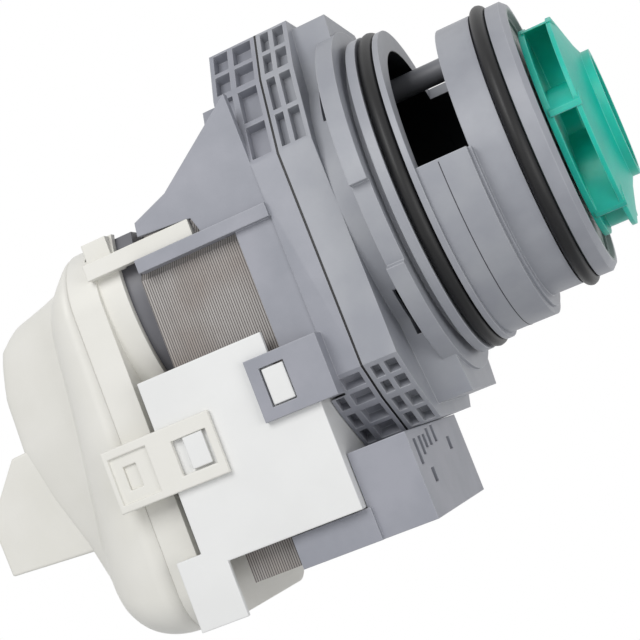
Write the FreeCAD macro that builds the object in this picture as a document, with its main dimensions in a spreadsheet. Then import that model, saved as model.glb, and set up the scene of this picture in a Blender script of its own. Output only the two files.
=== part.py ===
import FreeCAD, Part
import math
import os
import re

import Sketcher

# A dishwasher pump motor assembly. X runs along the shaft towards the impeller, Z is up.
# The origin is on the shaft axis, at the shoulder behind the large sealing ring.

Vector = FreeCAD.Vector
doc = FreeCAD.newDocument("pump_motor")
sheet = doc.addObject("Spreadsheet::Sheet", "Dims")

# Driving dimensions in millimetres, in the order in which the pieces are met from the impeller back
DIMENSIONS = {
    "sealWire": 4.0, "largeSealOuter": 45.6, "sealProud": 1.6, "smallSealX": 31.2,
    "rimPlateBack": -2.6, "rimPlateRadius": 45.4, "rimFront": 6.2, "rimRadius": 44.6, "boreRadius": 38.6,
    "barrelRadius": 43.4, "barrelFront": 19.6, "windowFrom": 48.0, "windowSweep": 132.0,
    "ringRadius": 38.4, "ringBack": 20.2, "ringFront": 38.6, "ringFlange": 3.0,
    "grooveSide": 0.3, "plateBack": 34.6, "plateThick": 2.2, "plateHole": 1.2,
    "pillarRadius": 3.3, "pillarY": 10.0, "pillarZ": 31.6,
    "impellerBack": 38.8, "impellerDisc": 1.6, "impellerRadius": 29.2, "shroudRadius": 29.4,
    "shroudEdge": 46.4, "lipStart": 49.8, "lipFront": 53.4, "lipRadius": 17.6, "shroudWall": 1.6,
    "bladeWall": 1.7, "bladeInner": 9.0, "bladeSweep": 38.0, "hubRadius": 6.6, "hubFront": 45.0,
    "bladeCount": 6.0, "bladePhase": 20.0,
    "shaftRadius": 3.0, "shaftBack": -86.0, "shaftFront": 47.0, "runningGap": 0.05,
    "bushRadius": 6.0, "bushLong": 8.0, "mountRadius": 9.0, "frontBushX": -34.0, "rearBushX": -83.0,
    "magnetRadius": 13.4, "sleeveWall": 1.2, "magnetBack": -72.0, "magnetFront": -43.0,
    "canGap": 0.8, "canWall": 1.2, "canFront": -22.0,
    "flangeBack": -32.6, "flangeJoint": -25.2, "flangeFront": -15.4, "flangeHalf": 41.0,
    "flangeTop": 55.0, "flangeBottom": -57.6, "cornerBack": -38.8, "gasketThick": 0.6,
    "cornerHalf": 18.0, "ribWall": 1.5, "pocketDeep": 3.0,
    "skirtBack": -43.0, "skirtHalf": 40.6, "skirtWall": 3.0,
    "neckRadius": 41.0, "bayonetBack": -9.4, "bayonetFront": -4.6, "bayonetRadius": 49.2,
    "coreBack": -72.2, "coreFront": -43.2, "coreHalf": 38.0, "coreTop": 18.0, "coreBottom": -79.6,
    "coreChamfer": 15.0, "legInner": 16.0, "slotTop": -19.6, "slotBottom": -64.0, "poleGap": 0.4,
    "coilTop": -34.6, "coilBottom": -62.6, "coilBuild": 3.6, "bobbinWall": 0.8,
    "coverHalf": "=max(frameHalf + 5; coreHalf + 6.6)", "coverBack": -80.8, "coverFront": -37.0,
    "coverTop": -21.8, "coverBottom": -71.8,
    "coverWall": 1.6, "footBack": -88.0, "footFront": -74.6, "footBottom": -86.4, "footInner": -31.0,
    "boxBack": -36.8, "boxFront": -21.0, "boxNear": -40.6, "boxFar": 22.6, "boxBottom": -80.6,
    "boxWall": 1.8, "slotWide": 3.2, "blockBack": -57.6,
    "frameBack": -92.6, "frameFront": -84.0, "frameHalf": 39.6, "frameTop": 19.8, "frameBottom": -86.8,
    "frameWall": 2.0, "topRound": 19.0, "bottomRound": 12.0, "collarFront": -77.2, "collarRadius": 38.4,
    "collarWall": 1.9, "canCoverRadius": 36.2,
    "capRear": -128.6, "capShoulder": -101.6, "capWall": 2.0, "capRound": 8.0,
    "shroudRear": -143.0, "shroudBottomZ": -55.6, "shroudTopZ": -25.0, "shroudNear": -27.0, "shroudFar": 7.0,
    "strapBack": -96.4, "strapFront": -65.0, "strapTop": -34.8, "strapBottom": -51.4, "strapThick": 1.6,
    "clipBack": -51.6, "clipTop": -27.4, "clipBottom": -43.6,
    "railBack": -70.4, "railTop": 8.0, "railLow": 4.4, "railOut": 42.4,
    "armBack": -83.0, "armFront": -53.6, "armTop": 12.6, "finTip": -67.8, "finPlateThick": 2.6,
    "boardX": "=frameBack - 8.4", "boardThick": 1.6, "pinSize": 0.9, "pinCount": 5.0, "pinPitch": 5.0,
}
for row, (alias, value) in enumerate(DIMENSIONS.items(), 1):
    sheet.set("A%d" % row, alias)
    sheet.set("B%d" % row, str(value))
    sheet.setAlias("B%d" % row, alias)
doc.recompute()

SUB_PARTS = []
ALONG_X = FreeCAD.Rotation(Vector(1, 1, 1), 120)
ALONG_Y = FreeCAD.Rotation(Vector(1, 0, 0), 90)


def linked(text):
    """Turns a formula of plain dimension names into one that reads the sheet."""
    return re.sub(r"[A-Za-z][A-Za-z0-9]*", lambda word: "Dims." + word.group(0)
                  if word.group(0) in DIMENSIONS else word.group(0), text)


def size(alias):
    """The present value of one dimension."""
    return float(sheet.get(alias))


def bind(item, field, formula):
    item.setExpression(field, linked(formula))


def place(item, x="0", y="0", z="0", rotation=None):
    """Puts an item at bound coordinates, turned if a rotation is given."""
    if rotation is not None:
        item.Placement = FreeCAD.Placement(Vector(0, 0, 0), rotation)
    bind(item, "Placement.Base.x", x)
    bind(item, "Placement.Base.y", y)
    bind(item, "Placement.Base.z", z)
    return item


def block(x0, x1, y0, y1, z0, z1):
    """A box between bound planes."""
    item = doc.addObject("Part::Box", "block")
    bind(item, "Length", "(%s) - (%s)" % (x1, x0))
    bind(item, "Width", "(%s) - (%s)" % (y1, y0))
    bind(item, "Height", "(%s) - (%s)" % (z1, z0))
    return place(item, x0, y0, z0)


def rod(radius, x0, x1, y="0", z="0"):
    """A cylinder along X."""
    item = doc.addObject("Part::Cylinder", "rod")
    bind(item, "Radius", radius)
    bind(item, "Height", "(%s) - (%s)" % (x1, x0))
    return place(item, x0, y, z, ALONG_X)


def cut(base, *tools):
    for tool in tools:
        item = doc.addObject("Part::Cut", "cut")
        item.Base = base
        item.Tool = tool
        base = item
    return base


def fuse(*parts):
    item = doc.addObject("Part::MultiFuse", "fuse")
    item.Shapes = list(parts)
    item.Refine = True
    return item


def common(*parts):
    item = doc.addObject("Part::MultiCommon", "common")
    item.Shapes = list(parts)
    return item


def ring(outer, inner, x0, x1, y="0", z="0"):
    """A tube along X."""
    return cut(rod(outer, x0, x1, y, z), rod(inner, "(%s) - 1" % x0, "(%s) + 1" % x1, y, z))


def outline(points, rotation):
    """A closed sketch through bound points, in the plane that the rotation gives."""
    sketch = doc.addObject("Sketcher::SketchObject", "outline")
    sketch.Placement = FreeCAD.Placement(Vector(0, 0, 0), rotation)
    count = len(points)
    values = [(float(sheet_value(a)), float(sheet_value(b))) for a, b in points]
    for i in range(count):
        start = Vector(values[i][0], values[i][1], 0)
        end = Vector(values[(i + 1) % count][0], values[(i + 1) % count][1], 0)
        sketch.addGeometry(Part.LineSegment(start, end), False)
    for i in range(count):
        sketch.addConstraint(Sketcher.Constraint("Coincident", i, 2, (i + 1) % count, 1))
    for i in range(count):
        across = sketch.addConstraint(Sketcher.Constraint("DistanceX", -1, 1, i, 1, values[i][0]))
        upward = sketch.addConstraint(Sketcher.Constraint("DistanceY", -1, 1, i, 1, values[i][1]))
        sketch.setExpression("Constraints[%d]" % across, linked(points[i][0]))
        sketch.setExpression("Constraints[%d]" % upward, linked(points[i][1]))
    return sketch


def sheet_value(formula):
    """Works out one formula of dimension names."""
    text = re.sub(r"[A-Za-z][A-Za-z0-9]*", lambda word: repr(size(word.group(0))), formula)
    return float(FreeCAD.Units.Quantity("(" + text + ")").Value)


def prism(points, rotation, direction, start, length):
    """An outline pushed along one axis: direction is X, Y or Z."""
    sketch = outline(points, rotation)
    bind(sketch, "Placement.Base." + direction.lower(), start)
    item = doc.addObject("Part::Extrusion", "prism")
    item.Base = sketch
    item.DirMode = "Custom"
    item.Dir = {"X": Vector(1, 0, 0), "Y": Vector(0, 1, 0), "Z": Vector(0, 0, 1)}[direction]
    item.Solid = True
    bind(item, "LengthFwd", length)
    return item


def turned(points):
    """A profile of (x, radius) points turned about the shaft axis."""
    item = doc.addObject("Part::Revolution", "turned")
    item.Source = outline(points, ALONG_Y)
    item.Axis = Vector(1, 0, 0)
    item.Base = Vector(0, 0, 0)
    item.Angle = 360.0
    item.Solid = True
    return item


def rounded(base, choose, radius):
    """Rounds the edges that the choose function picks."""
    doc.recompute()
    item = doc.addObject("Part::Fillet", "rounded")
    item.Base = base
    picked = [i for i, edge in enumerate(base.Shape.Edges, 1) if choose(edge)]
    item.Edges = [(i, radius, radius) for i in picked]
    return item


def runs_along(edge, axis):
    if edge.Curve.TypeId != "Part::GeomLine":
        return False
    return abs(abs(edge.Curve.Direction.dot(axis)) - 1.0) < 1e-6


def name_part(item, label):
    item.Label = label
    SUB_PARTS.append(item)
    return item


# Large sealing ring: a round cord ring in the groove behind the spigot rim
def torus(major, minor, x):
    item = doc.addObject("Part::Torus", "torus")
    bind(item, "Radius1", major)
    bind(item, "Radius2", minor)
    return place(item, x, "0", "0", ALONG_X)


name_part(torus("largeSealOuter - sealWire / 2", "sealWire / 2", "grooveSide + sealWire / 2"), "large_o_ring")
name_part(torus("ringRadius + sealProud - sealWire / 2", "sealWire / 2", "smallSealX"), "small_o_ring")

# Flange outline shared by the two housing halves, seen along the shaft
FLANGE = [
    ("-cornerHalf", "flangeTop"), ("-flangeHalf + 11", "flangeTop - 15"), ("-flangeHalf", "18"),
    ("-flangeHalf", "-39"), ("-flangeHalf + 8", "-48"), ("-cornerHalf - 3", "flangeBottom"),
    ("cornerHalf + 3", "flangeBottom"), ("flangeHalf - 8", "-48"), ("flangeHalf", "-39"),
    ("flangeHalf", "18"), ("flangeHalf - 11", "flangeTop - 15"), ("cornerHalf", "flangeTop"),
]


def flange(x0, x1):
    return prism(FLANGE, ALONG_X, "X", x0, "(%s) - (%s)" % (x1, x0))


def rib_pockets(x0, x1):
    """Shallow pockets in the slanted corners, so that ribs stand between them."""
    tools = []
    bays = 4
    for side in (-1, 1):
        for upper in (True, False):
            for bay in range(bays):
                tools.append(corner_pocket(x0, x1, side, upper, bay, bays))
    return tools


def corner_pocket(x0, x1, side, upper, bay, bays):
    """One pocket, cut square to the slanted face between two outline corners."""
    if upper:
        ends = [("cornerHalf", "flangeTop"), ("flangeHalf - 11", "flangeTop - 15")]
        if bay >= 2:
            ends = [("flangeHalf - 11", "flangeTop - 15"), ("flangeHalf", "18")]
    else:
        ends = [("cornerHalf + 3", "flangeBottom"), ("flangeHalf - 8", "-48")]
        if bay >= 2:
            ends = [("flangeHalf - 8", "-48"), ("flangeHalf", "-39")]
    a = Vector(0, side * sheet_value(ends[0][0]), sheet_value(ends[0][1]))
    b = Vector(0, side * sheet_value(ends[1][0]), sheet_value(ends[1][1]))
    rib = size("ribWall")
    whole = (b - a).Length
    share = (whole - 3 * rib / 2) / 2
    first = a + (b - a).normalize() * (rib / 2 + (bay % 2) * (share + rib / 2))
    along = (b - a).normalize()
    inward = Vector(0, -along.z, along.y)
    if inward.dot(Vector(0, 0, -5) - a) < 0:
        inward = inward * -1
    deep = size("pocketDeep")
    corners = [first - inward, first + along * (share - rib / 2) - inward,
               first + along * (share - rib / 2) + inward * deep, first + inward * deep]
    face = Part.Face(Part.makePolygon([Vector(sheet_value(x0), c.y, c.z) for c in corners + corners[:1]]))
    item = doc.addObject("Part::Feature", "pocket")
    item.Shape = face.extrude(Vector(sheet_value(x1) - sheet_value(x0), 0, 0))
    return item


# Pump housing: the front half, with its flange, neck, bayonet ring and sealing spigot
spigot = turned([
    ("flangeFront", "boreRadius - 6"), ("flangeFront", "neckRadius"), ("bayonetBack", "neckRadius"),
    ("bayonetBack", "bayonetRadius"), ("bayonetFront", "bayonetRadius"), ("bayonetFront", "neckRadius"),
    ("rimPlateBack", "neckRadius"), ("rimPlateBack", "rimPlateRadius"), ("0", "rimPlateRadius"),
    ("0", "largeSealOuter - sealWire"), ("sealWire + 2 * grooveSide", "largeSealOuter - sealWire"),
    ("sealWire + 2 * grooveSide", "rimRadius"), ("rimFront", "rimRadius"), ("rimFront", "boreRadius"),
    ("rimPlateBack - 4", "boreRadius"), ("rimPlateBack - 4", "boreRadius - 6"),
])
front_plate = cut(flange("flangeJoint + gasketThick", "flangeFront"),
                  rod("boreRadius - 6", "flangeJoint", "flangeFront + 1"))
floor_plate = cut(rod("boreRadius", "canFront + 1", "canFront + 4"),
                  rod("mountRadius - 3", "canFront", "canFront + 6"))
saddles = [prism([("-cornerHalf + 2", "flangeTop - 2.4"), ("-neckRadius * 0.66", "neckRadius * 0.7"),
                  ("neckRadius * 0.66", "neckRadius * 0.7"), ("cornerHalf - 2", "flangeTop - 2.4")],
                 ALONG_X, "X", "flangeFront", "bayonetFront - 1 - flangeFront"),
           prism([("-cornerHalf", "flangeBottom + 3.4"), ("-neckRadius * 0.66", "-neckRadius * 0.7"),
                  ("neckRadius * 0.66", "-neckRadius * 0.7"), ("cornerHalf", "flangeBottom + 3.4")],
                 ALONG_X, "X", "flangeFront", "bayonetFront - 1 - flangeFront")]
saddles = [cut(saddle, rod("boreRadius", "rimPlateBack - 4", "0"),
               rod("boreRadius - 6", "flangeFront - 1", "0")) for saddle in saddles]
bayonet_gaps = []
for turn in (8, 128, 248):
    wedge = doc.addObject("Part::Cylinder", "gap")
    wedge.Angle = 26.0
    bind(wedge, "Radius", "bayonetRadius + 2")
    bind(wedge, "Height", "bayonetFront - bayonetBack + 2")
    wedge.Placement = FreeCAD.Placement(
        Vector(0, 0, 0), FreeCAD.Rotation(Vector(1, 0, 0), turn + 170) * ALONG_X)
    bind(wedge, "Placement.Base.x", "bayonetBack - 1")
    bayonet_gaps.append(cut(wedge, rod("bayonetRadius - 2.2", "bayonetBack - 2", "bayonetFront + 2")))
neck_windows = [block("flangeFront + 3", "bayonetBack - 0.8", "-neckRadius - 2", "-6", "22", "34"),
                block("flangeFront + 3", "bayonetBack - 0.8", "-neckRadius - 2", "-6", "-36", "-24")]
pump_housing = cut(fuse(spigot, front_plate, floor_plate, *saddles),
                   *(bayonet_gaps + neck_windows + rib_pockets("flangeJoint + 1.8", "flangeFront - 5.6")
                     + rib_pockets("flangeFront - 4.3", "flangeFront - 1.2")))
name_part(pump_housing, "pump_housing")

# Pump barrel: the wall between spigot and chamber ring, open over the top
barrel_wall = ring("barrelRadius", "boreRadius", "rimFront", "barrelFront")
window = doc.addObject("Part::Cylinder", "window")
bind(window, "Angle", "windowSweep")
bind(window, "Radius", "barrelRadius + 5")
bind(window, "Height", "barrelFront - rimFront + 2")
window.Placement = FreeCAD.Placement(
    Vector(0, 0, 0), FreeCAD.Rotation(Vector(1, 0, 0), size("windowFrom")) * ALONG_X)
bind(window, "Placement.Base.x", "rimFront - 1")
name_part(cut(barrel_wall, window), "pump_barrel")

# Chamber ring: carries the small sealing ring and the plate behind the impeller
chamber = turned([
    ("ringBack - 0.6", "ringRadius - 8"), ("ringBack - 0.6", "ringRadius + ringFlange"),
    ("ringBack + 0.2", "ringRadius + ringFlange"), ("ringBack + 0.2", "ringRadius"),
    ("smallSealX - sealWire / 2 - grooveSide", "ringRadius"),
    ("smallSealX - sealWire / 2 - grooveSide", "ringRadius + sealProud - sealWire"),
    ("smallSealX + sealWire / 2 + grooveSide", "ringRadius + sealProud - sealWire"),
    ("smallSealX + sealWire / 2 + grooveSide", "ringRadius"), ("ringFront - 1.4", "ringRadius"),
    ("ringFront", "ringRadius - 1.4"), ("ringFront", "ringRadius - 3"),
    ("ringFront - 1.2", "ringRadius - 3.4"),
    ("ringFront - 1.2", "ringRadius - 4.4"), ("plateBack", "ringRadius - 4.4"),
    ("plateBack", "ringRadius - 6.4"), ("ringBack + 2.4", "ringRadius - 6.4"),
    ("ringBack + 2.4", "ringRadius - 8"),
])
flange_gap = doc.addObject("Part::Cylinder", "flange_gap")
bind(flange_gap, "Angle", "windowSweep")
bind(flange_gap, "Radius", "barrelRadius + 5")
bind(flange_gap, "Height", "2")
flange_gap.Placement = FreeCAD.Placement(
    Vector(0, 0, 0), FreeCAD.Rotation(Vector(1, 0, 0), size("windowFrom")) * ALONG_X)
bind(flange_gap, "Placement.Base.x", "ringBack - 1")
name_part(cut(chamber, cut(flange_gap, rod("ringRadius", "ringBack - 2", "ringBack + 2"))), "chamber_ring")

# Pressure tube: the round tube inside the window, from the spigot step to the chamber ring
pressure_tube = ring("pillarRadius", "pillarRadius - 1.4", "rimPlateBack - 4", "ringBack - 0.6",
                     "pillarY", "pillarZ")
name_part(pressure_tube, "pressure_tube")

# Back plate: closes the chamber ring behind the impeller, with the shaft through it
plate_disc = ring("ringRadius - 4.4", "hubRadius + 0.6", "plateBack", "plateBack + plateThick")
hole_places = (("-0.68", "0.44"), ("-0.78", "-0.26"), ("-0.31", "0.73"), ("0.31", "-0.76"), ("0.73", "0.31"))
plate_holes = [rod("plateHole", "plateBack - 1", "plateBack + plateThick + 1",
                   "ringRadius * " + y, "ringRadius * " + z) for y, z in hole_places]
name_part(cut(plate_disc, *plate_holes), "back_plate")

# Impeller: back disc, hub, curved blades and a front shroud with its inlet lip, moulded in one
impeller_shell = turned([
    ("impellerBack", "shaftRadius"), ("impellerBack", "impellerRadius"),
    ("impellerBack + impellerDisc", "impellerRadius"), ("impellerBack + impellerDisc", "hubRadius"),
    ("hubFront", "hubRadius"), ("hubFront", "shaftRadius"),
])
impeller_shroud = turned([
    ("shroudEdge", "shroudRadius"), ("shroudEdge + 1.2", "shroudRadius"),
    ("lipStart + 0.4", "lipRadius + 2.4"),
    ("lipStart + 1.4", "lipRadius"), ("lipFront", "lipRadius"), ("lipFront", "lipRadius - shroudWall"),
    ("lipStart", "lipRadius - shroudWall"), ("lipStart - 1", "lipRadius + 1"),
])


def blade(turn):
    """A flat blade swept back along an arc, from the hub to the rim."""
    inner = size("bladeInner")
    outer = size("impellerRadius") + 0.4
    lean = math.radians(size("bladeSweep"))
    wall = size("bladeWall") / 2

    def at(radius, angle):
        return Vector(0, radius * math.cos(angle), radius * math.sin(angle))

    def edge(offset):
        middle = (inner + outer) / 2
        start = at(inner, offset / inner)
        mid = at(middle, lean * 0.38 + offset / middle)
        return start, mid, at(outer, lean + offset / outer)
    one = edge(wall)
    two = edge(-wall)
    wire = Part.Wire([Part.Arc(*one).toShape(), Part.LineSegment(one[2], two[2]).toShape(),
                      Part.Arc(two[2], two[1], two[0]).toShape(), Part.LineSegment(two[0], one[0]).toShape()])
    base = size("impellerBack") + size("impellerDisc") / 2
    shape = Part.Face(wire).extrude(Vector(size("lipStart") + 2 - base, 0, 0))
    shape.translate(Vector(base, 0, 0))
    shape.rotate(Vector(0, 0, 0), Vector(1, 0, 0), turn)
    item = doc.addObject("Part::Feature", "blade")
    item.Shape = shape
    return item


blades = fuse(*[blade(size("bladePhase") + 360.0 * i / size("bladeCount"))
                for i in range(int(size("bladeCount")))])
above_shroud = turned([
    ("shroudEdge + 0.8", "shroudRadius + 6"), ("lipStart - 0.4", "lipRadius + 1.6"),
    ("lipStart - 0.4", "0"), ("lipStart + 8", "0"), ("lipStart + 8", "shroudRadius + 6"),
])
name_part(fuse(impeller_shell, impeller_shroud, cut(blades, above_shroud)), "impeller")

# Shaft and the cap nut that holds the impeller on it
name_part(rod("shaftRadius", "shaftBack", "shaftFront"), "shaft")
name_part(fuse(ring("hubRadius - 1", "shaftRadius", "hubFront", "shaftFront"),
               rod("hubRadius - 1.6", "shaftFront", "shaftFront + 2")), "impeller_nut")

# Rotor magnet on the shaft inside its moulded sleeve
name_part(ring("magnetRadius", "shaftRadius", "magnetBack", "magnetFront"), "rotor_magnet")
sleeve = turned([
    ("magnetBack - sleeveWall", "shaftRadius"), ("magnetBack - sleeveWall", "magnetRadius + sleeveWall"),
    ("magnetFront + sleeveWall", "magnetRadius + sleeveWall"), ("magnetFront + sleeveWall", "shaftRadius"),
    ("magnetFront", "shaftRadius"), ("magnetFront", "magnetRadius"), ("magnetBack", "magnetRadius"),
    ("magnetBack", "shaftRadius"),
])
name_part(sleeve, "rotor_sleeve")

# Plain bushes in rubber cups, one at each end of the rotor
for label, middle in (("front_bush", "frontBushX"), ("rear_bush", "rearBushX")):
    back = "%s - bushLong / 2" % middle
    front = "%s + bushLong / 2" % middle
    name_part(ring("bushRadius", "shaftRadius + runningGap", back, front), label)
    name_part(ring("mountRadius", "bushRadius", back, front), label + "_mount")

# Rotor can: the thin wet sleeve between rotor and stator, with a seat for each bush
can = turned([
    ("rearBushX - bushLong / 2 - canWall", "0"),
    ("rearBushX - bushLong / 2 - canWall", "mountRadius + canWall"),
    ("magnetBack - 3 - canWall", "mountRadius + canWall"),
    ("magnetBack - 3 - canWall", "magnetRadius + sleeveWall + canGap + canWall"),
    ("canFront - 3", "magnetRadius + sleeveWall + canGap + canWall"),
    ("canFront - 3", "flangeHalf - 11"), ("canFront", "flangeHalf - 11"),
    ("canFront", "mountRadius"), ("frontBushX - bushLong / 2", "mountRadius"),
    ("frontBushX - bushLong / 2", "mountRadius + canWall"), ("canFront - 4", "mountRadius + canWall"),
    ("canFront - 4", "magnetRadius + sleeveWall + canGap"),
    ("magnetBack - 3", "magnetRadius + sleeveWall + canGap"), ("magnetBack - 3", "mountRadius"),
    ("rearBushX - bushLong / 2", "mountRadius"), ("rearBushX - bushLong / 2", "0"),
])
name_part(can, "rotor_can")

# Stator core: a stack of laminations with two legs, a yoke below and the rotor bore above
core_shape = prism([
    ("-coreHalf + coreChamfer", "coreTop"), ("-coreHalf", "coreTop - coreChamfer"),
    ("-coreHalf", "coreBottom"), ("coreHalf", "coreBottom"), ("coreHalf", "coreTop - coreChamfer"),
    ("coreHalf - coreChamfer", "coreTop"),
], ALONG_X, "X", "coreBack", "coreFront - coreBack")
core_bore = rod("magnetRadius + sleeveWall + canGap + canWall + poleGap", "coreBack - 1", "coreFront + 1")
leg_slot = block("coreBack - 1", "coreFront + 1", "-legInner + 2", "legInner - 2", "slotBottom", "slotTop")
throat = block("coreBack - 1", "coreFront + 1", "-2", "2", "slotTop - 1", "0")
name_part(cut(core_shape, core_bore, leg_slot, throat), "stator_core")


# Bobbins and windings: one of each round each leg
def coil(outside, inside, z0, z1, side):
    low = "%d * (coreHalf + legInner - 2) / 2 - (coreHalf - legInner + 2) / 2" % side
    high = "%d * (coreHalf + legInner - 2) / 2 + (coreHalf - legInner + 2) / 2" % side
    outer = block("coreBack - %s" % outside, "coreFront + %s" % outside, "%s - %s" % (low, outside),
                  "%s + %s" % (high, outside), z0, z1)
    inner = block("coreBack - %s" % inside, "coreFront + %s" % inside, "%s - %s" % (low, inside),
                  "%s + %s" % (high, inside), "%s - 1" % z0, "%s + 1" % z1)
    return cut(outer, inner)


bobbins = []
windings = []
for side in (-1, 1):
    bobbins.append(coil("(bobbinWall + 0.1)", "0.1", "coilBottom", "coilTop", side))
    windings.append(coil("(coilBuild + bobbinWall)", "(bobbinWall + 0.1)", "coilBottom", "coilTop", side))


def compound(parts):
    item = doc.addObject("Part::Compound", "group")
    item.Links = parts
    return item


name_part(compound(bobbins), "coil_bobbins")
name_part(compound(windings), "coil_windings")

# White side cover: a sleeve round the coils, with a foot and a catch for the strap
cover_shell = cut(
    block("coverBack", "coverFront", "-coverHalf", "coverHalf", "coverBottom", "coverTop"),
    block("coverBack + coverWall", "coverFront - coverWall", "-coverHalf + coverWall",
          "coverHalf - coverWall", "coverBottom - 1", "coverTop + 1"))
cover_foot = fuse(
    cut(block("coverBack - 3", "footFront", "-coverHalf", "footInner", "footBottom",
              "coverBottom + coverWall"),
        block("coverBack - 3 + coverWall", "footFront + 1", "-coverHalf + coverWall", "footInner + 1",
              "footBottom - 1", "coverBottom + coverWall + 1")),
    block("footBack", "coverBack", "-coverHalf", "-frameHalf - 0.4", "footBottom", "coverBottom + 4"))
cover_notch = block("coreFront - 2", "coverFront + 1", "-coverHalf - 1", "coverHalf + 1", "-33.8",
                    "coverTop + 1")
strap_catch = block("strapFront - 9", "strapFront - 3.4", "-coverHalf - 1.4", "-coverHalf + 0.5",
                    "strapBottom + 4", "strapTop - 4")
clip_catch = block("clipBack + 3.6", "clipBack + 9.6", "-coverHalf - 1.4", "-coverHalf + 0.5",
                   "clipBottom + 3.4", "clipTop - 3.4")
side_cover = fuse(cut(fuse(cover_shell, cover_foot), cover_notch), strap_catch, clip_catch)
name_part(side_cover, "side_cover")

# Motor housing: the rear half, with its ribbed flange, flat-sided skirt, rail, fin, clip frame and slotted box
rear_plate = cut(flange("flangeBack", "flangeJoint"),
                 rod("flangeHalf - 11", "canFront - 3", "flangeJoint + 1"),
                 rod("magnetRadius + sleeveWall + canGap + canWall", "flangeBack - 1", "canFront"))
corner_top = common(flange("cornerBack", "flangeBack"),
                    block("cornerBack", "flangeBack", "-flangeHalf", "flangeHalf", "22", "flangeTop"))
corner_low = common(flange("boxBack", "flangeBack"),
                    block("boxBack", "flangeBack", "-flangeHalf", "flangeHalf", "flangeBottom", "-44"))
skirt = cut(prism([("-skirtHalf", "-33.4"), ("-skirtHalf", "20"), ("-skirtHalf + 12", "39"),
                   ("skirtHalf - 12", "39"), ("skirtHalf", "20"), ("skirtHalf", "-33.4")],
                  ALONG_X, "X", "skirtBack", "flangeBack - skirtBack"),
            rod("skirtHalf - skirtWall", "skirtBack - 1", "flangeBack + 1"))
rail = block("railBack", "flangeBack", "-railOut", "-coreHalf - 0.2", "railLow", "railTop")
fin = prism([
    ("finTip", "13.6"), ("finTip + 0.6", "17.2"), ("finTip + 11", "21"), ("flangeBack", "38"),
    ("flangeBack", "railTop - 2"), ("armFront + 3", "railTop - 2"), ("armFront + 1", "12.4"),
    ("armFront - 1", "12.6"),
], ALONG_Y, "Y", "-coreHalf - 0.2 - finPlateThick", "finPlateThick")
clip_frame = cut(block("clipBack", "flangeBack", "-coverHalf - strapThick - 0.2", "-coverHalf - 0.2",
                       "clipBottom", "clipTop"),
                 block("clipBack + 3.2", "clipBack + 10", "-coverHalf - 4", "0", "clipBottom + 3", "clipTop - 3"))
clip_root = block("flangeBack - 2.4", "flangeBack + 1", "-coverHalf - strapThick - 0.2", "-flangeHalf + 1",
                  "clipBottom", "clipTop")
box_neck = block("boxBack", "flangeJoint - 0.4", "-cornerHalf", "cornerHalf", "flangeBottom - 1",
                 "flangeBottom + 2")
box_body = cut(block("boxBack", "boxFront", "boxNear", "boxFar", "boxBottom", "flangeBottom - 0.2"),
               block("boxBack + boxWall", "boxFront - boxWall", "boxNear + boxWall", "boxFar - boxWall",
                     "boxBottom - 1", "flangeBottom - boxWall"))
box_slots = [block("boxFront - boxWall - 1", "boxFront + 1", y, "%s + slotWide" % y, low, high)
             for y, low, high in (("-36", "-67", "-60.2"), ("-30", "-65", "-60"), ("-25", "-63.6", "-60"),
                                  ("-19.6", "-63.4", "-58.8"), ("-13", "-63", "-58.4"))]
box_holes = [block("boxFront - boxWall - 1", "boxFront + 1", y, "%s + slotWide + 0.6" % y, low, high)
             for y, low, high in (("-29", "-72.4", "-68.6"), ("1", "-66.4", "-62.8"))]
side_block = block("blockBack", "boxBack + 1", "-coreHalf - 3.8", "-coreHalf - 0.2", "boxBottom",
                   "coverBottom - 0.2")
motor_housing = fuse(cut(rear_plate, *rib_pockets("flangeBack + 0.8", "flangeJoint - 1.2")),
                     cut(corner_top, *rib_pockets("cornerBack + 1.2", "flangeBack - 0.8")),
                     cut(corner_low, *rib_pockets("boxBack + 1", "flangeBack - 0.8")),
                     skirt, rail, fin, clip_frame, clip_root, side_block, box_neck,
                     cut(box_body, *(box_slots + box_holes)))
name_part(motor_housing, "motor_housing")

# Joint gasket between the two housing halves
name_part(cut(flange("flangeJoint", "flangeJoint + gasketThick"),
              rod("flangeHalf - 5", "flangeJoint - 1", "flangeJoint + 2")), "joint_gasket")


# Coil end cover: the dark cylinder end between the collar and the laminations
end_cover = common(
    ring("canCoverRadius", "magnetRadius + sleeveWall + 2.3", "frameFront + 2", "coreBack - 0.2"),
    block("frameFront", "coreBack", "-flangeHalf", "flangeHalf", "coverTop + 0.2", "coreTop - 0.4"))
name_part(end_cover, "coil_end_cover")


# Outline shared by the rear frame and the rear cover, seen along the shaft
def case_outline(inset, x0, x1):
    """The case outline with round corners, drawn in by an inset, between two planes."""
    half = "frameHalf - %s" % inset
    top = "frameTop - %s" % inset
    low = "frameBottom + %s" % inset
    body = prism([("-(%s)" % half, low), (half, low), (half, top), ("-(%s)" % half, top)],
                 ALONG_X, "X", x0, "(%s) - (%s)" % (x1, x0))
    middle = sheet_value("frameTop / 2 + frameBottom / 2")
    inset_value = sheet_value(inset)
    upper = rounded(body, lambda e: runs_along(e, Vector(1, 0, 0)) and e.CenterOfMass.z > middle,
                    size("topRound") - inset_value)
    return rounded(upper, lambda e: runs_along(e, Vector(1, 0, 0)) and e.CenterOfMass.z < middle,
                   size("bottomRound") - inset_value)


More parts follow.
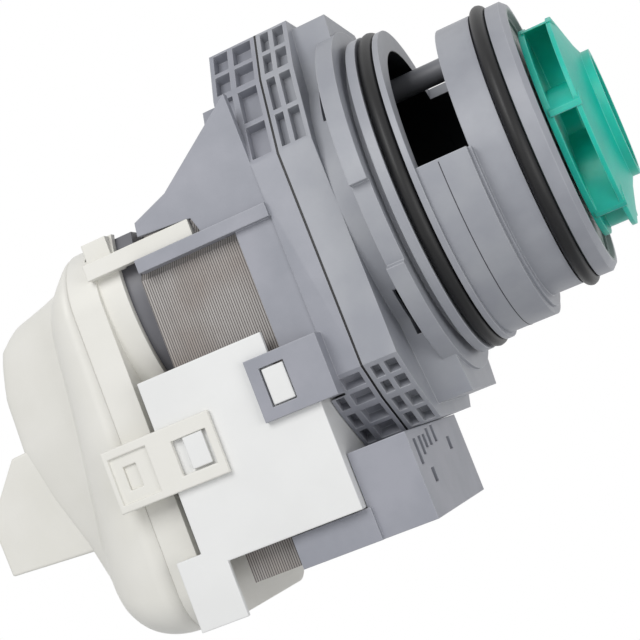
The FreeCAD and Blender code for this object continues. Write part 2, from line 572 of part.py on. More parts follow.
# Rear frame: the cream tray with its collar, arm and strap pad
frame_band = cut(case_outline("0", "frameBack", "frameFront"),
                 case_outline("frameWall", "frameBack - 1", "frameFront - frameWall"),
                 rod("canCoverRadius + 0.3", "frameFront - frameWall - 1", "frameFront + 1"))
lower_port = block("frameFront - frameWall - 1", "frameFront + 1", "-24", "24", "-72", "-28")
collar = common(ring("collarRadius", "collarRadius - collarWall", "frameFront - 1", "collarFront"),
                block("frameFront - 1", "collarFront", "-flangeHalf", "flangeHalf", "coverTop + 0.2",
                      "frameTop - 1"))
arm = block("armBack", "armFront", "-coreHalf - 2.9", "-coreHalf - 0.2", "railTop + 0.2", "armTop")
arm_root = block("frameFront - 1", "collarFront + 2", "-coreHalf - 2.9", "-coreHalf + 1.6", "railTop + 0.2",
                 "armTop")
lug = cut(block("frameFront - 1", "collarFront - 0.6", "-37", "-28", "armTop + 0.2", "frameTop - 1.4"),
          rod("canCoverRadius + 0.3", "frameFront - 2", "collarFront"))
strap_pad = block("strapBack + 1", "frameFront - 1.4", "-coverHalf - 0.2", "-frameHalf + 1",
                  "strapBottom + 1", "strapTop - 1")
name_part(fuse(cut(frame_band, lower_port), collar, arm, arm_root, lug, strap_pad), "rear_frame")


# Rear cover: the bulging end cap with its connector shroud
def cap_profile(inset, front):
    """The cap seen from the side, drawn in by an inset."""
    return [
        (front, "frameTop - %s" % inset), ("capShoulder + 1.5", "frameTop - 0.6 - %s" % inset),
        ("capShoulder - 1 + %s / 2" % inset, "frameTop - 5.4 - %s" % inset),
        ("capRear + 9 + %s / 2" % inset, "8.4 - %s" % inset),
        ("capRear + 4.6 + %s" % inset, "3 - %s / 2" % inset),
        ("capRear + %s" % inset, "shroudTopZ"), ("capRear + 8 + %s" % inset, "shroudBottomZ"),
        ("capRear + 10.6 + %s" % inset, "-75"), ("capRear + 17.6 + %s / 2" % inset, "-83.5 + %s" % inset),
        ("capRear + 24.6", "frameBottom + %s" % inset), (front, "frameBottom + %s" % inset),
    ]


def cap(inset, front):
    side = prism(cap_profile(inset, front), ALONG_Y, "Y", "-frameHalf + %s" % inset,
                 "2 * frameHalf - 2 * %s" % inset)
    plan = []
    for side_sign in ("-", ""):
        corner = [(front, "frameHalf - %s" % inset), ("capRear + capRound + 8", "frameHalf - %s" % inset),
                  ("capRear + capRound / 2 + %s" % inset, "frameHalf - capRound / 2 - %s" % inset),
                  ("capRear + %s - 1" % inset, "frameHalf - capRound - 4 - %s" % inset)]
        if side_sign == "-":
            corner = [(x, "-(%s)" % y) for x, y in corner]
            plan += corner
        else:
            plan += corner[::-1]
    top_view = prism(plan, FreeCAD.Rotation(), "Z", "frameBottom - 1", "frameTop - frameBottom + 2")
    return common(side, case_outline(inset, "capRear - 1", front), top_view)


hood_outer = prism([
    ("capRear + 8", "shroudTopZ + 1"), ("capRear - 2", "shroudTopZ"), ("shroudRear + 3", "-36"),
    ("shroudRear", "-42"), ("shroudRear + 0.6", "shroudBottomZ"), ("capRear + 14", "shroudBottomZ - 3"),
], ALONG_Y, "Y", "shroudNear", "shroudFar - shroudNear")
hood_inner = prism([
    ("capRear - 1", "shroudTopZ - 3"), ("shroudRear + 5", "-38"), ("shroudRear + 2", "-43"),
    ("shroudRear + 2.6", "shroudBottomZ - 4"), ("capRear + 4.6", "shroudBottomZ - 6"),
    ("capRear + 2", "-42"),
], ALONG_Y, "Y", "shroudNear + capWall", "shroudFar - shroudNear - 2 * capWall")
pin_slot = block("capRear - 8", "capRear + 12", "shroudNear + 5", "shroudFar - 5", "-46", "-36")
rear_cover = cut(fuse(cut(cap("0", "frameBack"), cap("capWall", "frameBack + 1")),
                      cut(hood_outer, cap("0.1", "frameBack"))), hood_inner, pin_slot)
pad_notch = block("strapBack - 0.5", "frameBack + 1", "-frameHalf - 2", "-frameHalf + capWall + 0.4",
                  "strapBottom", "strapTop")
name_part(cut(rear_cover, pad_notch), "rear_cover")

# Latch clip: the strap with two windows that ties the rear frame to the side cover
clip_plate = block("strapBack", "strapFront", "-coverHalf - 0.2 - strapThick", "-coverHalf - 0.2",
                   "strapBottom", "strapTop")
clip_windows = [
    block("strapFront - 12", "strapFront - 2.2", "-coverHalf - 4", "0", "strapBottom + 3.4", "strapTop - 4"),
    block("strapBack + 4.4", "strapBack + 8", "-coverHalf - 4", "0", "strapBottom + 5", "strapTop - 5.4"),
    block("strapBack + 1.4", "strapBack + 12.4", "-coverHalf - 4", "-coverHalf + 0.6 - strapThick",
          "strapBottom + 2", "strapTop - 2.4"),
]
name_part(cut(clip_plate, *clip_windows), "latch_clip")

# Connector: an insulating block in the cover's back wall, with a row of flat pins to the board
pins = []
pin_holes = []
for i in range(int(size("pinCount"))):
    y = "shroudNear + 7 + %d * (pinPitch - 1.2)" % i
    pins.append(block("capRear - 8", "boardX", y, "%s + pinSize" % y, "-41 - pinSize", "-41 + pinSize"))
    pin_holes.append(block("capRear - 9", "boardX + 1", y, "%s + pinSize" % y, "-41 - pinSize",
                           "-41 + pinSize"))
name_part(cut(block("capRear - 0.4", "capRear + 11.6", "shroudNear + 5", "shroudFar - 5", "-46", "-36"),
              *pin_holes), "connector_block")
name_part(compound(pins), "connector_pins")

# Control board with its tall parts, in the rear cover
name_part(block("boardX", "boardX + boardThick", "-30", "30", "-70", "6"), "control_board")
board_parts = [rod("6", "boardX - 14", "boardX", "17", "-14"), rod("5", "boardX - 12", "boardX", "20", "-56"),
               block("boardX - 11", "boardX", "-24", "-4", "-22", "-6"),
               block("boardX - 8", "boardX", "-22", "-8", "-66", "-52")]
name_part(compound(board_parts), "board_parts")

doc.recompute()
for item in doc.Objects:
    if "Invalid" in item.State or "Error" in item.State:
        raise RuntimeError("failed object: " + item.Label)
for item in SUB_PARTS:
    if item.Shape.isNull() or not item.Shape.isValid():
        raise RuntimeError("bad shape: " + item.Label)
    print(item.Label, len(item.Shape.Solids), round(item.Shape.Volume))

os.makedirs("parts", exist_ok=True)
for item in SUB_PARTS:
    item.Shape.exportStep("parts/%s.step" % item.Label)
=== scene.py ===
import bmesh
import bpy
import numpy as np
from mathutils import Matrix


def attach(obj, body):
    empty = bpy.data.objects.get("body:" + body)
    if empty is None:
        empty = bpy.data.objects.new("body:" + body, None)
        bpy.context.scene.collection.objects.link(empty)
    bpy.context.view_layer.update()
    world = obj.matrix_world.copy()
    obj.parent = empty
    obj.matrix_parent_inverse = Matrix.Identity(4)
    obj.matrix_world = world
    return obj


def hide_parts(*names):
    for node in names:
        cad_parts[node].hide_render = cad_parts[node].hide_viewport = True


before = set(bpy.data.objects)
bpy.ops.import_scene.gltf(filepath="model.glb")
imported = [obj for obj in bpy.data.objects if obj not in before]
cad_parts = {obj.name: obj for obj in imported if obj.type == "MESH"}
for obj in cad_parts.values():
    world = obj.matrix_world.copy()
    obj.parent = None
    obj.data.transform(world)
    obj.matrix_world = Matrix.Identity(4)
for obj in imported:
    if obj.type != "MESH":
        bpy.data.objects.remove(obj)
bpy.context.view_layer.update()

# Camera and light: a three-quarter view from the impeller side, rolled a little, as the pump was held.
# A white room with one large soft lamp above and to the left, and a weaker one on the right.
scene = bpy.context.scene
scene.view_settings.view_transform = "Standard"


def turned(right, up, back, centre):
    """The matrix that turns a camera or a lamp to three axes and puts it at a point."""
    return Matrix([(right[i], up[i], back[i], centre[i]) for i in range(3)] + [(0, 0, 0, 1)])


camera_right = (0.88914, 0.27779, -0.36369)
camera_up = (0.37742, 0.00435, 0.92603)
camera_back = (0.25882, -0.96063, -0.10097)
camera_place = (0.0658, -0.3985, -0.0622)
camera = bpy.data.objects.new("camera", bpy.data.cameras.new("camera"))
scene.collection.objects.link(camera)
camera.matrix_world = turned(camera_right, camera_up, camera_back, camera_place)
camera.data.lens = 84.375
camera.data.sensor_width = 36.0
camera.data.clip_start = 0.01
scene.camera = camera

# A colour mix has its factor and its two colours at these inputs, and the mixed colour at this output
FACTOR, FIRST, SECOND, MIXED = 0, 6, 7, 2


def add_node(owner, kind, inputs=None, **settings):
    """Adds one shader node with its settings. An input is a plain value, or another node's output to link."""
    new = owner.node_tree.nodes.new("ShaderNode" + kind)
    for key, value in settings.items():
        setattr(new, key, value)
    for key, value in (inputs or {}).items():
        if isinstance(value, bpy.types.NodeSocket):
            owner.node_tree.links.new(value, new.inputs[key])
        else:
            new.inputs[key].default_value = value
    return new


def linear(code):
    """An sRGB hex value as linear light: c / 12.92 for dark values, else ((c + 0.055) / 1.055) to the 2.4."""
    channels = np.array([int(code[i:i + 2], 16) for i in (1, 3, 5)]) / 255.0
    low = channels / 12.92
    high = ((channels + 0.055) / 1.055) ** 2.4
    return tuple(np.where(channels <= 0.04045, low, high)) + (1.0,)


room = bpy.data.worlds.new("white_room")
scene.world = room
room.use_nodes = True
room.node_tree.nodes.clear()
path = add_node(room, "LightPath")
seen = add_node(room, "Math", {0: path.outputs["Is Camera Ray"], 1: path.outputs["Is Glossy Ray"]},
                operation="MAXIMUM")
seen = add_node(room, "Math", {0: seen.outputs[0], 1: path.outputs["Is Transmission Ray"]},
                operation="MAXIMUM")
ambient = add_node(room, "Background", {"Color": linear("#F4F6FA"), "Strength": 0.44})
white = add_node(room, "Background", {"Color": (1, 1, 1, 1), "Strength": 1.0})
both = add_node(room, "MixShader", {0: seen.outputs[0], 1: ambient.outputs[0], 2: white.outputs[0]})
add_node(room, "OutputWorld", {"Surface": both.outputs[0]})

# Each lamp has the way to it from the pump, its distance and width in metres, and its power in watts
LAMPS = {"key_lamp": ((-0.15, -0.80, 0.50), 0.80, 0.45, 3.3),
         "fill_lamp": ((0.80, -0.60, -0.20), 0.90, 0.50, 1.9)}
pump_middle = np.array((-0.03, 0.0, -0.02))
for name, (toward, distance, wide, watts) in LAMPS.items():
    aim = np.array(toward) / np.linalg.norm(toward)
    lamp = bpy.data.objects.new(name, bpy.data.lights.new(name, "AREA"))
    scene.collection.objects.link(lamp)
    lamp.data.energy = watts
    lamp.data.size = wide
    side = np.cross((0.0, 0.0, 1.0), aim)
    side /= np.linalg.norm(side)
    lamp.matrix_world = turned(side, np.cross(aim, side), aim, pump_middle + aim * distance)


# Floor: a plain pale table 300 mm below the shaft axis, so far down that the main picture leaves it out.
# It is stage, not a piece of the pump.
def put_mesh(name, points, faces, material=None, smooth=True):
    """One mesh object at the origin from an array of points in millimetres and a list or array of faces."""
    mesh = bpy.data.meshes.new(name)
    mesh.from_pydata((np.asarray(points, float).reshape(-1, 3) / 1000.0).tolist(), [],
                     [list(map(int, face)) for face in faces])
    mesh.validate()
    if smooth:
        mesh.shade_smooth()
    piece = bpy.data.objects.new(name, mesh)
    scene.collection.objects.link(piece)
    if material:
        mesh.materials.append(material)
    return piece


def new_material(name):
    """A material that uses nodes, and its main shader."""
    material = bpy.data.materials.new(name)
    material.use_nodes = True
    return material, material.node_tree.nodes["Principled BSDF"]


floor_radius, floor_x, floor_z = 420, -40, -300
floor_sides = 96
floor_paint, shader = new_material("pale_table")
shader.inputs["Base Color"].default_value = linear("#F2F2F2")
shader.inputs["Roughness"].default_value = 0.9
turn = np.linspace(0, 2 * np.pi, floor_sides, endpoint=False)
disc = np.stack([floor_radius * np.cos(turn) + floor_x, floor_radius * np.sin(turn), floor_z + 0 * turn], 1)
floor = put_mesh("floor", disc, [range(floor_sides)], floor_paint, smooth=False)


# Pump housing: the front half casting of the pump, glass-filled polypropylene, moulded in one shot with
# its flange, neck, bayonet ring and spigot, and clamped to the motor half. Its edges carry a painted
# highlight.
PLASTIC_IOR = 1.49
EDGE_ROUND_MM = 0.45


def moulded_plastic(name, colour, shade, edge, roughness, cloud_mm, grain_mm, grain_depth):
    """A moulded plastic: slow colour clouds, fine grain in relief, and a painted highlight that lightens its
    edges.

    The painted edge highlight grows as the dot product of the true normal and the normal rounded over
    EDGE_ROUND_MM falls from 0.99 to 0.86.
    """
    material, shader = new_material(name)
    gloss_spread = 0.06
    place = add_node(material, "TexCoord").outputs["Object"]
    clouds = add_node(material, "TexNoise", {"Vector": place, "Scale": 1000.0 / cloud_mm, "Detail": 4.0})
    clouds = add_node(material, "MapRange", {"Value": clouds.outputs["Fac"], "From Min": 0.35,
                                             "From Max": 0.65})
    body = add_node(material, "Mix", {FACTOR: clouds.outputs[0], FIRST: linear(shade),
                                      SECOND: linear(colour)}, data_type="RGBA")
    soft = add_node(material, "Bevel", {"Radius": EDGE_ROUND_MM / 1000.0}, samples=6)
    true = add_node(material, "NewGeometry")
    near = add_node(material, "VectorMath", {0: soft.outputs[0], 1: true.outputs["Normal"]},
                    operation="DOT_PRODUCT")
    # Painted highlight: the edges are mixed towards the lighter edge colour.
    edge_highlight = add_node(material, "MapRange", {"Value": near.outputs["Value"], "From Min": 0.99,
                                           "From Max": 0.86})
    skin = add_node(material, "Mix", {FACTOR: edge_highlight.outputs[0], FIRST: body.outputs[MIXED],
                                      SECOND: linear(edge)}, data_type="RGBA")
    grain = add_node(material, "TexNoise", {"Vector": place, "Scale": 1000.0 / grain_mm, "Detail": 2.0})
    gloss = add_node(material, "MapRange", {"Value": grain.outputs["Fac"], "To Min": roughness - gloss_spread,
                                            "To Max": roughness + gloss_spread})
    relief = add_node(material, "Bump", {"Height": grain.outputs["Fac"], "Normal": soft.outputs[0],
                                         "Distance": grain_depth / 1000.0, "Strength": 0.5})
    material.node_tree.links.new(skin.outputs[MIXED], shader.inputs["Base Color"])
    material.node_tree.links.new(gloss.outputs[0], shader.inputs["Roughness"])
    material.node_tree.links.new(relief.outputs[0], shader.inputs["Normal"])
    shader.inputs["IOR"].default_value = PLASTIC_IOR
    return material


def darken_inside(material, radius_mm, from_mm, to_mm, colour):
    """Colours what lies within a radius of the shaft axis and between two planes across it.

    The distance from the axis is the square root of y squared plus z squared.
    """
    shader = material.node_tree.nodes["Principled BSDF"]
    skin = shader.inputs["Base Color"].links[0].from_socket
    place = add_node(material, "TexCoord").outputs["Object"]
    parts = add_node(material, "SeparateXYZ", {0: place})
    across = add_node(material, "CombineXYZ", {1: parts.outputs[1], 2: parts.outputs[2]})
    away = add_node(material, "VectorMath", {0: across.outputs[0]}, operation="LENGTH")
    mask = 1.0
    for value, limit_mm, test in ((away.outputs["Value"], radius_mm, "LESS_THAN"),
                                  (parts.outputs[0], to_mm, "LESS_THAN"),
                                  (parts.outputs[0], from_mm, "GREATER_THAN")):
        passed = add_node(material, "Math", {0: value, 1: limit_mm / 1000.0}, operation=test)
        mask = add_node(material, "Math", {0: mask, 1: passed.outputs[0]}, operation="MULTIPLY").outputs[0]
    dark = add_node(material, "Mix", {FACTOR: mask, FIRST: skin, SECOND: linear(colour)}, data_type="RGBA")
    material.node_tree.links.new(dark.outputs[MIXED], shader.inputs["Base Color"])


# Points of a mesh nearer than MERGE are one, edges shorter than NO_LENGTH go, in metres. Faces that
# meet at less than FLAT are one flat face, and at more than SHARP they meet in a sharp edge, in radians.
MERGE, NO_LENGTH, FLAT, SHARP = 2e-6, 1e-6, 0.012, 0.55


def merged_copy(node, name, body, material, round_mm=0.0):
    """A copy of a CAD node as one closed skin that stands for it, smooth except where faces meet sharply.

    Where round_mm is given, flat faces are joined up and the sharp edges are rounded off by that much.
    """
    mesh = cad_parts[node].data.copy()
    mesh.name = name
    work = bmesh.new()
    work.from_mesh(mesh)
    bmesh.ops.remove_doubles(work, verts=work.verts, dist=MERGE)
    bmesh.ops.dissolve_degenerate(work, dist=NO_LENGTH, edges=work.edges)
    if round_mm:
        bmesh.ops.dissolve_limit(work, angle_limit=FLAT, verts=work.verts, edges=work.edges)
    work.to_mesh(mesh)
    work.free()
    if "custom_normal" in mesh.attributes:
        mesh.attributes.remove(mesh.attributes["custom_normal"])
    mesh.shade_smooth()
    mesh.set_sharp_from_angle(angle=SHARP)
    mesh.materials.clear()
    mesh.materials.append(material)
    piece = bpy.data.objects.new(name, mesh)
    scene.collection.objects.link(piece)
    if round_mm:
        soften = piece.modifiers.new("rounded_edges", "BEVEL")
        soften.width = round_mm / 1000.0
        soften.segments = 2
        soften.limit_method = "ANGLE"
        soften.angle_limit = SHARP
        soften.harden_normals = True
    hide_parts(node)
    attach(piece, body)
    return piece


front_grey = moulded_plastic("grey_polypropylene_front", "#A2A4A9", "#9799A0", "#B9BBBF",
                             roughness=0.46, cloud_mm=14, grain_mm=0.5, grain_depth=0.02)
# Painted shade: the bore and floor inside the housing are coloured near black for the shade of the deep
# hollow.
darken_inside(front_grey, radius_mm=38.75, from_mm=-30, to_mm=19.7, colour="#0E1316")
merged_copy("pump_housing", "front_housing", "casing", front_grey)

# Pump barrel: the short stepped wall in front of the spigot, open over the top, moulded in the same
# polypropylene as the housing and welded to the ring in front.
merged_copy("pump_barrel", "barrel_wall", "casing", front_grey)


# Weld seam: the fine dark line round the barrel, where its two mouldings were welded together. It is a
# thin cord of dark melted plastic, barely proud of the wall, and stops at the window.
def ring_faces(rows, columns, wrap_rows, wrap_columns):
    """Quads between the neighbours of a grid, as whole arrays: each joins (i, j) to (i + 1, j + 1)."""
    i = np.arange(rows if wrap_rows else rows - 1)[:, None]
    j = np.arange(columns if wrap_columns else columns - 1)[None, :]
    i2 = (i + 1) % rows
    j2 = (j + 1) % columns
    quads = np.stack([i * columns + j, i2 * columns + j, i2 * columns + j2, i * columns + j2], 2)
    return quads.reshape(-1, 4)


def cord_about_shaft(name, middle_x, radius, cord, sweep, material, steps=256, sides=40):
    """A cord bent about the shaft: a circle of the cord's radius carried along an arc of a larger circle.

    The cord is a fortieth of its radius proud along a fine flash line on its outside.
    """
    closed = abs(sweep[1] - sweep[0]) >= 2 * np.pi - 1e-6
    around = np.linspace(sweep[0], sweep[1], steps, endpoint=not closed)[:, None]
    section = np.linspace(0, 2 * np.pi, sides, endpoint=False)[None, :]
    flash_proud, flash_wide = 0.025, 0.045
    wire = cord + flash_proud * cord * np.exp(-(np.sin(section / 2) / flash_wide) ** 2)
    out = radius + wire * np.cos(section) + 0 * around
    x = middle_x + wire * np.sin(section) + 0 * around
    points = np.stack([x, out * np.cos(around), out * np.sin(around)], 2)
    faces = ring_faces(steps, sides, closed, True).tolist()
    if not closed:
        faces += [range(sides), range(steps * sides - 1, (steps - 1) * sides - 1, -1)]
    piece = put_mesh(name, points, faces, material)
    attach(piece, "casing")
    return piece


seam_grey = moulded_plastic("weld_seam_grey", "#3C3D41", "#333438", "#4A4B50",
                            roughness=0.6, cloud_mm=6, grain_mm=0.3, grain_depth=0.02)
seam_x, seam_radius, seam_cord = 12.0, 43.36, 0.13
seam_sweep = np.radians((181, 407))
seam = cord_about_shaft("barrel_weld_seam", seam_x, seam_radius, seam_cord, seam_sweep, seam_grey)

# Pressure tube: a round moulded tube that crosses the opening behind the chamber ring. It is the same
# polypropylene as the housing, with painted shade: its colour is darker for the shade of the housing.
shaded_tube_grey = moulded_plastic("grey_polypropylene_tube_painted_shade", "#85868B", "#7B7C82", "#94959A",
                            roughness=0.44, cloud_mm=12, grain_mm=0.5, grain_depth=0.02)
merged_copy("pressure_tube", "cross_tube", "casing", shaded_tube_grey)

# Chamber ring: the moulded ring that carries the small seal and the plate behind the impeller. Its
# front lip inside is stained green by wash water, like the plate.
ring_grey = moulded_plastic("grey_polypropylene_ring", "#A0A2A8", "#94969D", "#B9BBC0",
                            roughness=0.44, cloud_mm=14, grain_mm=0.5, grain_depth=0.02)
darken_inside(ring_grey, radius_mm=36.0, from_mm=30, to_mm=40, colour="#6C7F7B")
merged_copy("chamber_ring", "front_ring", "casing", ring_grey)

# Sealing rings: two moulded rubber cord rings in their grooves, matt black with a faint flash line.
# EPDM is dull and only a little grey where the light grazes it.
rubber = moulded_plastic("black_epdm_rubber", "#111113", "#0C0C0D", "#232222",
                         roughness=0.45, cloud_mm=9, grain_mm=0.3, grain_depth=0.015)
rubber.node_tree.nodes["Principled BSDF"].inputs["Specular IOR Level"].default_value = 0.4
seal_cord = 1.96
for name, node, middle_x, radius in (("large_seal", "large_o_ring", 2.3, 43.6),
                                     ("small_seal", "small_o_ring", 31.2, 38.0)):
    seal = cord_about_shaft(name, middle_x, radius, seal_cord, (0, 2 * np.pi), rubber)
    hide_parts(node)

# Back plate: closes the ring behind the impeller, polypropylene stained green and brown by wash water.
# The stain lies in small patches, and the surface is a little smoother than the housing's.
stained = moulded_plastic("stained_polypropylene", "#7C9089", "#586B66", "#8A9C96",
                          roughness=0.38, cloud_mm=5, grain_mm=0.7, grain_depth=0.03)
merged_copy("back_plate", "wet_plate", "casing", stained)

# Impeller: a closed pump wheel moulded in blue-green acetal, pushed on the shaft under a cap nut.
# Acetal lets a little light in, and its thin edges carry a painted highlight.
acetal = moulded_plastic("turquoise_acetal", "#00C4AE", "#00B8A4", "#5CD8C6",
                         roughness=0.42, cloud_mm=10, grain_mm=0.8, grain_depth=0.015)
shader = acetal.node_tree.nodes["Principled BSDF"]
shader.inputs["Subsurface Weight"].default_value = 0.35
shader.inputs["Subsurface Scale"].default_value = 0.006
merged_copy("impeller", "pump_wheel", "rotor", acetal)
merged_copy("impeller_nut", "wheel_nut", "rotor", acetal)


# Shaft and rotor: a ground steel shaft carries a ferrite magnet in a black moulded sleeve. They run
# inside the can and hardly show, so the CAD meshes are kept.
def metal(name, light, dark, roughness, scale, stretch, metallic=1.0):
    """A worked metal: two tones mixed by a noise that is stretched along the tool marks."""
    material, shader = new_material(name)
    gloss_spread = 0.08
    place = add_node(material, "TexCoord").outputs["Object"]
    stretched = add_node(material, "Mapping", {"Vector": place, "Scale": stretch})
    marks = add_node(material, "TexNoise", {"Vector": stretched.outputs[0], "Scale": scale, "Detail": 3.0})
    tone = add_node(material, "Mix", {FACTOR: marks.outputs["Fac"], FIRST: linear(dark),
                                      SECOND: linear(light)}, data_type="RGBA")
    gloss = add_node(material, "MapRange", {"Value": marks.outputs["Fac"], "To Min": roughness - gloss_spread,
                                            "To Max": roughness + gloss_spread})
    material.node_tree.links.new(tone.outputs[MIXED], shader.inputs["Base Color"])
    material.node_tree.links.new(gloss.outputs[0], shader.inputs["Roughness"])
    shader.inputs["Metallic"].default_value = metallic
    return material


def finish_node(node, material):
    """Gives a CAD node that keeps its own mesh its finish."""
    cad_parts[node].material_slots[0].material = material


even = (1.0, 1.0, 1.0)
ground_steel = metal("ground_steel", "#C9C8C6", "#A9A8A6", roughness=0.25, scale=900.0,
                     stretch=(20.0, 1.0, 1.0))
ferrite = metal("sintered_ferrite", "#3A3A3C", "#2C2C2E", roughness=0.6, scale=2500.0, stretch=even,
                metallic=0.2)
black_nylon = moulded_plastic("black_nylon", "#2E2F31", "#27282A", "#3D3E41",
                              roughness=0.42, cloud_mm=12, grain_mm=0.5, grain_depth=0.02)
finish_node("shaft", ground_steel)
finish_node("rotor_magnet", ferrite)
finish_node("rotor_sleeve", black_nylon)

# Bushes: plain sintered carbon bushes in rubber cups, and the thin black rotor can that holds them.
# Carbon is dark grey with a fine even grain and hardly any gloss.
carbon = metal("sintered_carbon", "#343435", "#262627", roughness=0.45, scale=3500.0, stretch=even,
               metallic=0.1)
for end in ("front_bush", "rear_bush"):
    finish_node(end, carbon)
    finish_node(end + "_mount", rubber)
finish_node("rotor_can", black_nylon)

# Motor housing: the rear half, the same polypropylene from another mould, a little bluer, with a thin
# black gasket between the halves. Its moulded edges are rounded by 0.3 mm.
rear_grey = moulded_plastic("grey_polypropylene_rear", "#9C9DA5", "#90929A", "#B2B4BA",
                            roughness=0.46, cloud_mm=16, grain_mm=0.5, grain_depth=0.02)
merged_copy("motor_housing", "rear_housing", "casing", rear_grey, round_mm=0.3)
merged_copy("joint_gasket", "housing_gasket", "casing", rubber)

# Stator core: a stack of punched steel sheets, bare and slightly oily, seen edge on as fine lines.
# The sheets are 0.5 mm thick and drawn 0.65 mm apart, so that the lines show.
sheet_pitch_mm = 0.65
sheets, shader = new_material("stacked_electrical_steel")
place = add_node(sheets, "TexCoord").outputs["Object"]
along = add_node(sheets, "SeparateXYZ", {0: place}).outputs[0]
count = add_node(sheets, "Math", {0: along, 1: 1000.0 / sheet_pitch_mm}, operation="MULTIPLY")
step = add_node(sheets, "Math", {0: count.outputs[0]}, operation="FRACT")
gap = add_node(sheets, "Math", {0: step.outputs[0], 1: 0.36}, operation="LESS_THAN")
index = add_node(sheets, "Math", {0: count.outputs[0]}, operation="FLOOR")
tone = add_node(sheets, "TexWhiteNoise", {"W": index.outputs[0]}, noise_dimensions="1D")
tone = add_node(sheets, "MapRange", {"Value": tone.outputs["Value"], "To Min": 0.75, "To Max": 1.0})
stain = add_node(sheets, "TexNoise", {"Vector": place, "Scale": 70.0, "Detail": 5.0})
stain = add_node(sheets, "MapRange", {"Value": stain.outputs["Fac"], "From Min": 0.4, "From Max": 0.7})
steel = add_node(sheets, "Mix", {FACTOR: stain.outputs[0], FIRST: linear("#A19D9A"),
                                 SECOND: linear("#918882")}, data_type="RGBA")
steel = add_node(sheets, "Mix", {FACTOR: tone.outputs[0], FIRST: linear("#7C7874"),
                                 SECOND: steel.outputs[MIXED]}, data_type="RGBA")
lines = add_node(sheets, "Mix", {FACTOR: gap.outputs[0], FIRST: steel.outputs[MIXED],
                                 SECOND: linear("#55514F")}, data_type="RGBA")
relief = add_node(sheets, "Bump", {"Height": gap.outputs[0], "Distance": 0.0001, "Strength": 0.6},
                  invert=True)
sheets.node_tree.links.new(lines.outputs[MIXED], shader.inputs["Base Color"])
sheets.node_tree.links.new(relief.outputs[0], shader.inputs["Normal"])
shader.inputs["Metallic"].default_value = 0.35
shader.inputs["Roughness"].default_value = 0.5
merged_copy("stator_core", "sheet_stack", "casing", sheets)

# Coils: enamelled copper wire wound on black bobbins, one round each leg of the stack. Real wire of
# 0.3 mm is drawn 0.8 mm apart, so that the turns show.
wire_pitch_mm = 0.8
waves_per_scale = 20.0
copper = metal("enamelled_copper_wire", "#C07A4C", "#9A5A34", roughness=0.32, scale=500.0,
               stretch=(1.0, 1.0, 12.0))
place = add_node(copper, "TexCoord").outputs["Object"]
turns = add_node(copper, "TexWave", {"Vector": place, "Scale": 1000.0 / wire_pitch_mm / waves_per_scale},
                 bands_direction="Z")
relief = add_node(copper, "Bump", {"Height": turns.outputs["Fac"], "Distance": 0.0003, "Strength": 0.8})
copper.node_tree.links.new(relief.outputs[0], copper.node_tree.nodes["Principled BSDF"].inputs["Normal"])
finish_node("coil_windings", copper)
finish_node("coil_bobbins", black_nylon)

# Coil end cover: a dark satin nylon moulding between the sheets and the cream collar. Its dark grey is
# partly its own colour and partly painted shade. It is smoother than the grey housings, so it has a soft
# long highlight.
dark = moulded_plastic("dark_grey_nylon_and_painted_shade", "#727277", "#66666B", "#838388",
                       roughness=0.36, cloud_mm=18, grain_mm=0.6, grain_depth=0.02)
merged_copy("coil_end_cover", "winding_cap", "casing", dark)

# Side cover: a white moulded sleeve round the two coils, with a foot at its lower rear corner.
# Polyester is a little glossy and almost without grain.
white_plastic = moulded_plastic("white_polyester", "#EAEAE8", "#E6E6E4", "#F2F2F0",
                                roughness=0.36, cloud_mm=22, grain_mm=0.8, grain_depth=0.01)
merged_copy("side_cover", "coil_cover", "casing", white_plastic, round_mm=0.7)

# Rear frame: the cream tray that the rear cover snaps to, with its collar, arm and strap pad. The
# polyester is yellower and duller than the white cover's.
cream = moulded_plastic("cream_polyester", "#E7E5DE", "#E2E0D8", "#EFEDE2",
                        roughness=0.44, cloud_mm=20, grain_mm=0.6, grain_depth=0.015)
merged_copy("rear_frame", "cream_tray", "casing", cream, round_mm=0.5)


# Rear cover: the cream cap that bulges over the control board, moulded thin and snapped on the tray with
# a fine seam. Its connector shroud stands out behind, open below, and its walls are about 2 mm thick.
def rounded_outline(half, low, top, low_round, top_round, count):
    """A rectangle with round corners, as points spaced evenly along its length."""
    quarter = np.linspace(0, np.pi / 2, 40)
    corners = ((half - top_round, top - top_round, top_round),
               (top_round - half, top - top_round, top_round),
               (low_round - half, low + low_round, low_round),
               (half - low_round, low + low_round, low_round))
    runs = []
    for k, (y, z, r) in enumerate(corners):
        bend = quarter + k * np.pi / 2
        runs.append(np.stack([y + r * np.cos(bend), z + r * np.sin(bend)], 1))
    line = np.concatenate(runs + [runs[0][:1]])
    reach = np.concatenate([[0], np.cumsum(np.linalg.norm(np.diff(line, axis=0), axis=1))])
    spaced = np.linspace(0, reach[-1], count, endpoint=False)
    return np.stack([np.interp(spaced, reach, line[:, 0]), np.interp(spaced, reach, line[:, 1])], 1)


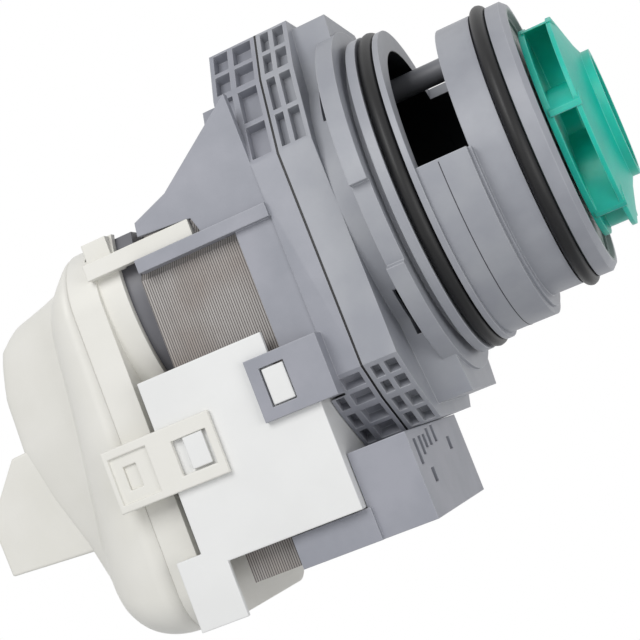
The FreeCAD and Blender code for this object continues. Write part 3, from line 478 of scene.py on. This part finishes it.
def cap_depth(rho, y, z):
    """How far the cap stands back from its rim, in millimetres.

    The tray part is its depth at that height times the root of one minus rho to the ninth. The bulge part
    is its extra height times a smooth step over a band inside the rounded rectangle that it stands on,
    which is where the sixth powers of the two shares of its half width and half height add up to one.
    """
    heights = [-86.8, -75.0, -65.0, -55.0, -40.0, -25.0, -10.0, 3.0, 8.4, 14.0, 19.8]
    whole = np.interp(z, heights, [20.0, 21.4, 22.8, 25.0, 30.2, 33.8, 33.4, 30.8, 26.6, 12.0, 6.0])
    tray = np.interp(z, heights, [20.0, 21.2, 21.2, 20.0, 17.6, 15.0, 13.0, 11.6, 10.4, 7.0, 5.2])
    bulge_half, bulge_z, bulge_tall, band = 31.5, -33.0, 51.0, 0.17
    gauge = (np.abs(y / bulge_half) ** 6 + np.abs((z - bulge_z) / bulge_tall) ** 6) ** (1 / 6)
    rise = np.clip((1.0 - gauge) / band, 0, 1)
    rise = rise * rise * (3 - 2 * rise)
    return tray * np.sqrt(np.clip(1 - rho ** 9, 0, 1)) + (whole - tray) * rise


# The rim is 0.15 mm inside the tray's outline, and its plane leaves a fine seam to the tray. The cap's
# rings of points run from the rim to one point in the middle, a little closer together near the rim.
cap_sides, cap_rings = 288, 110
ring_crowding = 0.8
cap_middle_z = -36.0
rim_x = -92.78
rim = rounded_outline(half=39.45, low=-86.65, top=19.65, low_round=12.0, top_round=19.0, count=cap_sides)
rho = np.linspace(1.0, 0.0, cap_rings)[:, None] ** ring_crowding
y = rho * rim[:, 0]
z = cap_middle_z + rho * (rim[:, 1] - cap_middle_z)
back = rim_x - cap_depth(rho + 0 * y, y, z)
points = np.concatenate([np.stack([back[:-1], y[:-1], z[:-1]], 2).reshape(-1, 3),
                         [[back[-1, 0], 0.0, cap_middle_z]]])
faces = ring_faces(cap_rings - 1, cap_sides, False, True).tolist()
last = (cap_rings - 2) * cap_sides
faces += [(last + i, len(points) - 1, last + (i + 1) % cap_sides) for i in range(cap_sides)]
cap = put_mesh("cream_cap", points, faces, cream)
wall = cap.modifiers.new("wall", "SOLIDIFY")
wall.thickness = 0.002
wall.offset = -1.0
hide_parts("rear_cover")
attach(cap, "casing")

profile = np.array([(-112.0, -57.4), (-142.3, -55.4), (-142.8, -42.0), (-139.8, -36.0), (-130.6, -25.2),
                    (-112.0, -24.4)])
corners = len(profile)
near_y, far_y = -26.8, 6.8
near, far = (np.stack([profile[:, 0], np.full(corners, side_y), profile[:, 1]], 1)
             for side_y in (near_y, far_y))
faces = [range(corners), range(2 * corners - 1, corners - 1, -1)]
faces += [(i, i + corners, i + corners + 1, i + 1) for i in range(1, corners - 1)]
hood = put_mesh("plug_shroud", np.concatenate([near, far]), faces, cream, smooth=False)
work = bmesh.new()
work.from_mesh(hood.data)
bmesh.ops.recalc_face_normals(work, faces=work.faces)
work.to_mesh(hood.data)
work.free()
wall = hood.modifiers.new("wall", "SOLIDIFY")
wall.thickness = 0.0018
wall.offset = -1.0
soften = hood.modifiers.new("rounded_edges", "BEVEL")
soften.width = 0.0006
soften.segments = 2
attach(hood, "casing")

# Control board inside the cap: green glass-epoxy with black capacitors, and the row of tinned pins in
# its black block that the machine's plug reaches through the shroud.
glass_epoxy = moulded_plastic("green_glass_epoxy", "#1E6B3C", "#175630", "#3D8457",
                              roughness=0.35, cloud_mm=3, grain_mm=0.4, grain_depth=0.02)
finish_node("control_board", glass_epoxy)
finish_node("board_parts", black_nylon)
finish_node("connector_block", black_nylon)
finish_node("connector_pins", metal("tinned_brass", "#D8D2BE", "#B9B294", roughness=0.3, scale=1200.0,
                                    stretch=(8.0, 1.0, 1.0)))

# Latch clip: the cream strap that holds the tray to the white cover, a flat moulding of the tray's
# polyester with two windows. Its edges are rounded by 0.3 mm.
merged_copy("latch_clip", "strap_clip", "casing", cream, round_mm=0.3)
